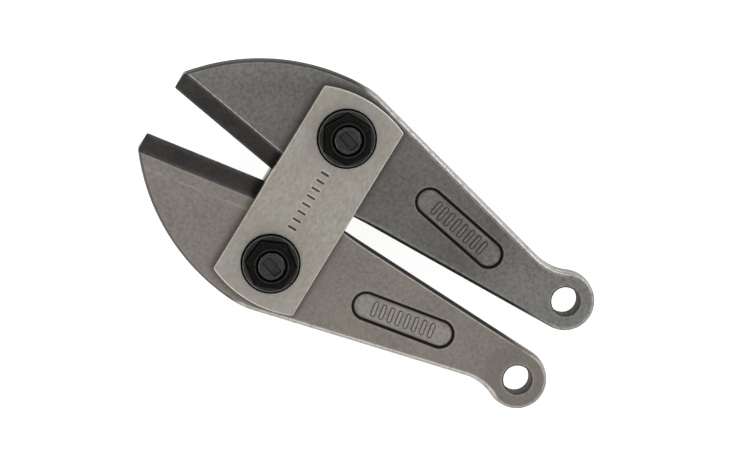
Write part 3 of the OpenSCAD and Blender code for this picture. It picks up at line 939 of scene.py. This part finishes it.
def hex_rows(height):
    """Rows of radius and height from the flange's seat at 0 up the hexagon to its top."""
    rim = turned(*((RIM_R - RIM_LOW + RIM_LOW * np.cos(t), RIM_LOW + RIM_LOW * np.sin(t))
                   for t in np.radians(np.linspace(-90, 0, 5))))
    edge = RIM_R - RIM_TOP
    rim += turned(*((edge + RIM_TOP * np.cos(t), FLANGE_T - 0.22 + RIM_TOP * np.sin(t))
                    for t in np.radians(np.linspace(0, 68, 5))))
    foot = SIX + FILLET
    slope = [(edge + (foot - RIM_R + RIM_TOP) * t,
              FLANGE_T + 0.1 + (edge - foot) * t * FLANGE_SLOPE)
             for t in (0.06, 0.14, 0.22, 0.32, 0.7, 1.0)]
    base = slope[-1][1]
    fillet = [(SIX + FILLET * (1 - np.sin(t)), base + FILLET * (1 - np.cos(t)))
              for t in np.radians((30, 60, 90))]
    top = height - (SIX - HEX_HALF * 0.97) * CHAMFER_SLOPE - 0.12
    wall = [(SIX, base + FILLET + (top - base - FILLET) * t) for t in (0.5, 0.97, 1.0)]
    inner = HEX_HALF * 0.93
    crown = [(SIX - 0.06, top + 0.06)] + turned((inner + 0.15, height - 0.05), (inner, height))
    return rim, slope + fillet + wall + crown


def skin(rows, wrap):
    """Quads over a grid of rows that closes round the axis, and along the rows if wrap."""
    count = len(rows)
    k = np.arange(count if wrap else count - 1)
    a = k[:, None] * TURNS + np.arange(TURNS)
    b = k[:, None] * TURNS + (np.arange(TURNS) + 1) % TURNS
    above_a, above_b = ((ids + TURNS) % (count * TURNS) for ids in (a, b))
    return np.stack([a, b, above_b, above_a], 2).reshape(-1, 4)


def points_of(rows, turn=0.0):
    """The points of rows turned about the axis, with the radius and height of each."""
    r, z = (np.array([row[i] for row in rows]) for i in (0, 1))
    t = THETA[None] + turn
    points = np.stack([r * np.cos(t), r * np.sin(t), z], 2).reshape(-1, 3)
    return points, r.ravel(), z.ravel()


# %% [markdown]
# ## The nuts
# The skin of a nut goes round like a ring doughnut: along the seat, over the flange, up the
# hexagon, over the crown, and back down the threaded hole.

# %% Two flange nuts
NUT_LEAD_IN, GROOVE_R = 0.5, 5.02


def nut_thread(turn):
    """Rows down the nut's threaded hole, with a lead-in cone at both ends."""
    rows = []
    for z in np.linspace(NUT_H, 0, int(NUT_H / PITCH * 10)):
        cut = thread(THETA + turn, np.full(TURNS, z + NUT_Z)) + 0.03
        cone = THREAD_R + 0.05 + max(z - (NUT_H - NUT_LEAD_IN), NUT_LEAD_IN - z, 0) - 0.02
        in_cone = cone > THREAD_R + 0.03
        rows.append((np.maximum(cut, cone) if in_cone else cut, np.full(TURNS, z)))
    return rows


def make_nut(name, side, turn_deg):
    """A flange nut screwed down on the bolt's shoulder."""
    turn = np.radians(turn_deg)
    rim, body = hex_rows(NUT_H)
    groove = turned((5.25, NUT_H), (5.1, NUT_H - 0.05), (4.95, NUT_H - 0.05), (4.8, NUT_H))
    hole = nut_thread(turn)
    rows = turned((5.4, 0), (7.0, 0)) + rim + body + groove + hole
    points, radius, height = points_of(rows, turn)
    outer = np.repeat(np.arange(len(rows)) < len(rows) - len(hole), TURNS)
    corner = np.tile(smooth_step((SIX - HEX_HALF * 1.10) / 0.35), len(rows))
    # A painted highlight ring on the flange near its rim, lighter hexagon corners, and lighter
    # rings at the crown's edge and at the groove.
    wear_and_highlight = outer * (bell(radius - RIM_R + 0.66, 0.12) * (height > 0.6)
                    + corner * (height > 3) * 0.2
                    + bell(radius - HEX_HALF * 0.95, 0.12) * (height > 6) * 0.25
                    + bell(radius - GROOVE_R, 0.12) * (height > 6) * 0.6)
    # Painted shade at the foot of the hexagon and along the flange's outer lip; the hexagon's top
    # is darker but for the groove, and the threaded hole is dark.
    foot = bell(radius - np.tile(SIX, len(rows)) - 0.2, 0.3) * (height < 4) * 0.9
    lip = smooth_step((radius - RIM_R + 0.55) / 0.15)
    crown = 0.68 * (height > 4) * (1 - 0.7 * bell(radius - GROOVE_R, 0.14))
    grime_and_shade = np.where(outer, np.maximum.reduce([foot, lip, crown]), 0.9)
    return make_object(name, points + [PIVOT_X, side * PIVOT_Y, NUT_Z], skin(rows, True).tolist(),
                       [BLACK_OXIDE], {"wear_and_highlight": np.clip(wear_and_highlight, 0, 1), "grime_and_shade": grime_and_shade},
                       sharp_deg=NUT_SHARP_DEG)


upper_nut = make_nut("upper_nut_black", 1, 0)
lower_nut = make_nut("lower_nut_black", -1, 24)
for nut, node in ((upper_nut, "upper_flange_nut"), (lower_nut, "lower_flange_nut")):
    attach(nut, "link_frame")
    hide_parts(node)

# %% [markdown]
# ## The bolts
# A bolt's head is forged like the nut, and its shoulder is ground, because the jaw turns on
# it. The threaded end is chamfered and has a short slot that held it while the nut was
# tightened. The slotted end face is a height field again, with slightly hammered ground.

# %% End face of a bolt
SLOT_L, SLOT_W, SLOT_DEPTH, SLOT_DEG = 5.6, 2.8, 0.8, -18.0
SLOT_ROUND, TOP_R = 0.5, THREAD_R - 0.62


def to_slot(points):
    """Signed distance to the slot, a turned rectangle with rounded corners."""
    x, y = points @ way(SLOT_DEG), points @ way(SLOT_DEG + 90)
    qx, qy = abs(x) - SLOT_L / 2 + SLOT_ROUND, abs(y) - SLOT_W / 2 + SLOT_ROUND
    corner = np.hypot(np.maximum(qx, 0), np.maximum(qy, 0))
    return corner + np.minimum(np.maximum(qx, qy), 0) - SLOT_ROUND


def slot_loop(d):
    """The slot's outline moved out by d, counter-clockwise."""
    half_l, half_w = SLOT_L / 2 + d, SLOT_W / 2 + d
    r = min(SLOT_ROUND + d, half_l * 0.9, half_w * 0.9)
    loop = np.concatenate([arc((sx * (half_l - r), sy * (half_w - r)), r, t, t + 90, 15)
                           for sx, sy, t in ((1, 1, 0), (-1, 1, 90), (-1, -1, 180), (1, -1, 270))])
    return loop @ np.stack([way(SLOT_DEG), way(SLOT_DEG + 90)])


def end_cap():
    """The bolt's end face with its slot: points, faces, wear and grime."""
    bends = [(ring((0, 0), TOP_R - 0.12, TURNS), True)]
    bends += [(slot_loop(d), True) for d in (0.12, 0.04, -0.04, -0.12, -0.25)]
    grid = lattice(np.arange(-3.2, 3.3, 0.4), np.arange(-3.2, 3.3, 0.4), 0)
    grid = grid[(far(grid, 0) < TOP_R - 0.25) & (abs(to_slot(grid)) > 0.35)]
    flat, faces = triangulate(ring((0, 0), TOP_R, TURNS), [], bends, grid)
    gap, from_axis = to_slot(flat), far(flat, 0)
    sink = SLOT_DEPTH * smooth_step(0.5 - gap / 0.24)
    hammered = 0.05 * (1 - from_axis / TOP_R)
    on_edge = from_axis > TOP_R - 1e-4
    z = np.where(on_edge, BOLT_END, BOLT_END - sink - hammered * (gap > 0.2))
    wear_and_highlight = 0.25 * bell(gap - 0.12, 0.12) + 0.5 * on_edge
    grime_and_shade = 0.25 * smooth_step(-gap / 0.2) * (sink > 0.4) + 0.6 * bell(gap, 0.15)
    return np.column_stack([flat, z]), faces, wear_and_highlight, grime_and_shade


END_CAP = end_cap()
print(f"end face: {len(END_CAP[0])} points, slot {SLOT_L} by {SLOT_W} mm")

# %% [markdown]
# ## A bolt from head to end
# The rest is turned: from the middle of the head over its rim, up the shoulder and the
# thread to the rim of the end face, where both parts are welded into one skin.

# %% Two shouldered bolts
def bolt_rows():
    """Rows of radius and height from the middle of the head up to the rim of the end face."""
    rim, body = hex_rows(HEAD_H)
    head = turned((0.9, 0.35), (3.0, 0.33), (5.0, 0.25), (5.6, 0.06))
    head += [(r, HEAD_H - z) for r, z in (rim + body)[::-1]]
    shank = turned((5.35, HEAD_H), (SHOULDER + 0.12, HEAD_H + 0.05), (SHOULDER, HEAD_H + 0.2))
    shank += turned(*((SHOULDER, z) for z in (8.0, 12.0, 16.0, 20.0, NUT_Z - 0.35)))
    shank += turned((SHOULDER - 0.3, NUT_Z - 0.02), (3.6, NUT_Z))
    screw = []
    for z in np.linspace(NUT_Z + 0.15, BOLT_END - 0.06, 72):
        limit = min(3.45 + max(z - NUT_Z - 0.5, 0) * 2, THREAD_R - max(z - (BOLT_END - 0.62), 0))
        row = np.full(TURNS, z)
        screw.append((np.minimum(thread(THETA, row), limit), row))
    return head + shank + screw + turned((TOP_R, BOLT_END))


def make_bolt(name, side):
    """A shouldered bolt: head below, shoulder through the stack, threaded end above."""
    rows = bolt_rows()
    points, radius, height = points_of(rows)
    cap_points, cap, cap_wear, cap_grime = END_CAP
    vertices = np.concatenate([points, cap_points, [[0, 0, 0.35]]])
    first, pole = np.arange(TURNS), np.full(TURNS, len(vertices) - 1)
    faces = skin(rows, False).tolist() + (cap + len(points)).tolist()
    faces += np.stack([np.roll(first, -1), first, pole], 1).tolist()
    on_shoulder = abs(radius - SHOULDER) < 0.02
    wear_and_highlight = np.where(height < HEAD_H, bell(radius - RIM_R + 0.32, 0.12) * 0.5,
                    0.6 * on_shoulder + 0.35 * bell(height - BOLT_END + 0.55, 0.2))
    grime_and_shade = np.where((height > NUT_Z + 0.2) & (height < BOLT_END - 0.1),
                     0.7 * smooth_step((THREAD_R - 0.25 - radius) / 0.3), 0)
    marks = {"wear_and_highlight": np.clip(np.concatenate([wear_and_highlight, cap_wear, [0]]), 0, 1),
             "grime_and_shade": np.clip(np.concatenate([grime_and_shade, cap_grime, [0]]), 0, 1)}
    bolt = make_object(name, vertices + [PIVOT_X, side * PIVOT_Y, 0], faces, [BLACK_BOLT], marks,
                       sharp_deg=NUT_SHARP_DEG)
    weld(bolt.data)
    return bolt


def weld(mesh):
    """Joins vertices that are in the same place."""
    work = bmesh.new()
    work.from_mesh(mesh)
    bmesh.ops.remove_doubles(work, verts=work.verts, dist=1e-7)
    bmesh.ops.recalc_face_normals(work, faces=work.faces)
    work.to_mesh(mesh)
    work.free()


upper_bolt = make_bolt("upper_bolt_black", 1)
lower_bolt = make_bolt("lower_bolt_black", -1)
for bolt, node in ((upper_bolt, "upper_pivot_bolt"), (lower_bolt, "lower_pivot_bolt")):
    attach(bolt, "link_frame")
    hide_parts(node)

# %% [markdown]
# ## The floor
# The head lies on a light table: a sheet of white acrylic that glows a little, so that the
# shadows on it stay pale. It is part of the studio and not of the object.

# %% Pale floor
floor_mesh = bpy.data.meshes.new("floor")
floor_mesh.from_pydata([(-6, -6, 0), (6, -6, 0), (6, 6, 0), (-6, 6, 0)], [], [(0, 1, 2, 3)])
floor = put("floor", floor_mesh)
acrylic = bpy.data.materials.new("opal_acrylic_light_table")
acrylic.use_nodes = True
for name, value in (("Base Color", (0.45, 0.45, 0.45, 1)), ("Roughness", 0.9),
                    ("Emission Color", (1, 1, 1, 1)), ("Emission Strength", 0.86)):
    acrylic.node_tree.nodes["Principled BSDF"].inputs[name].default_value = value
floor_mesh.materials.append(acrylic)
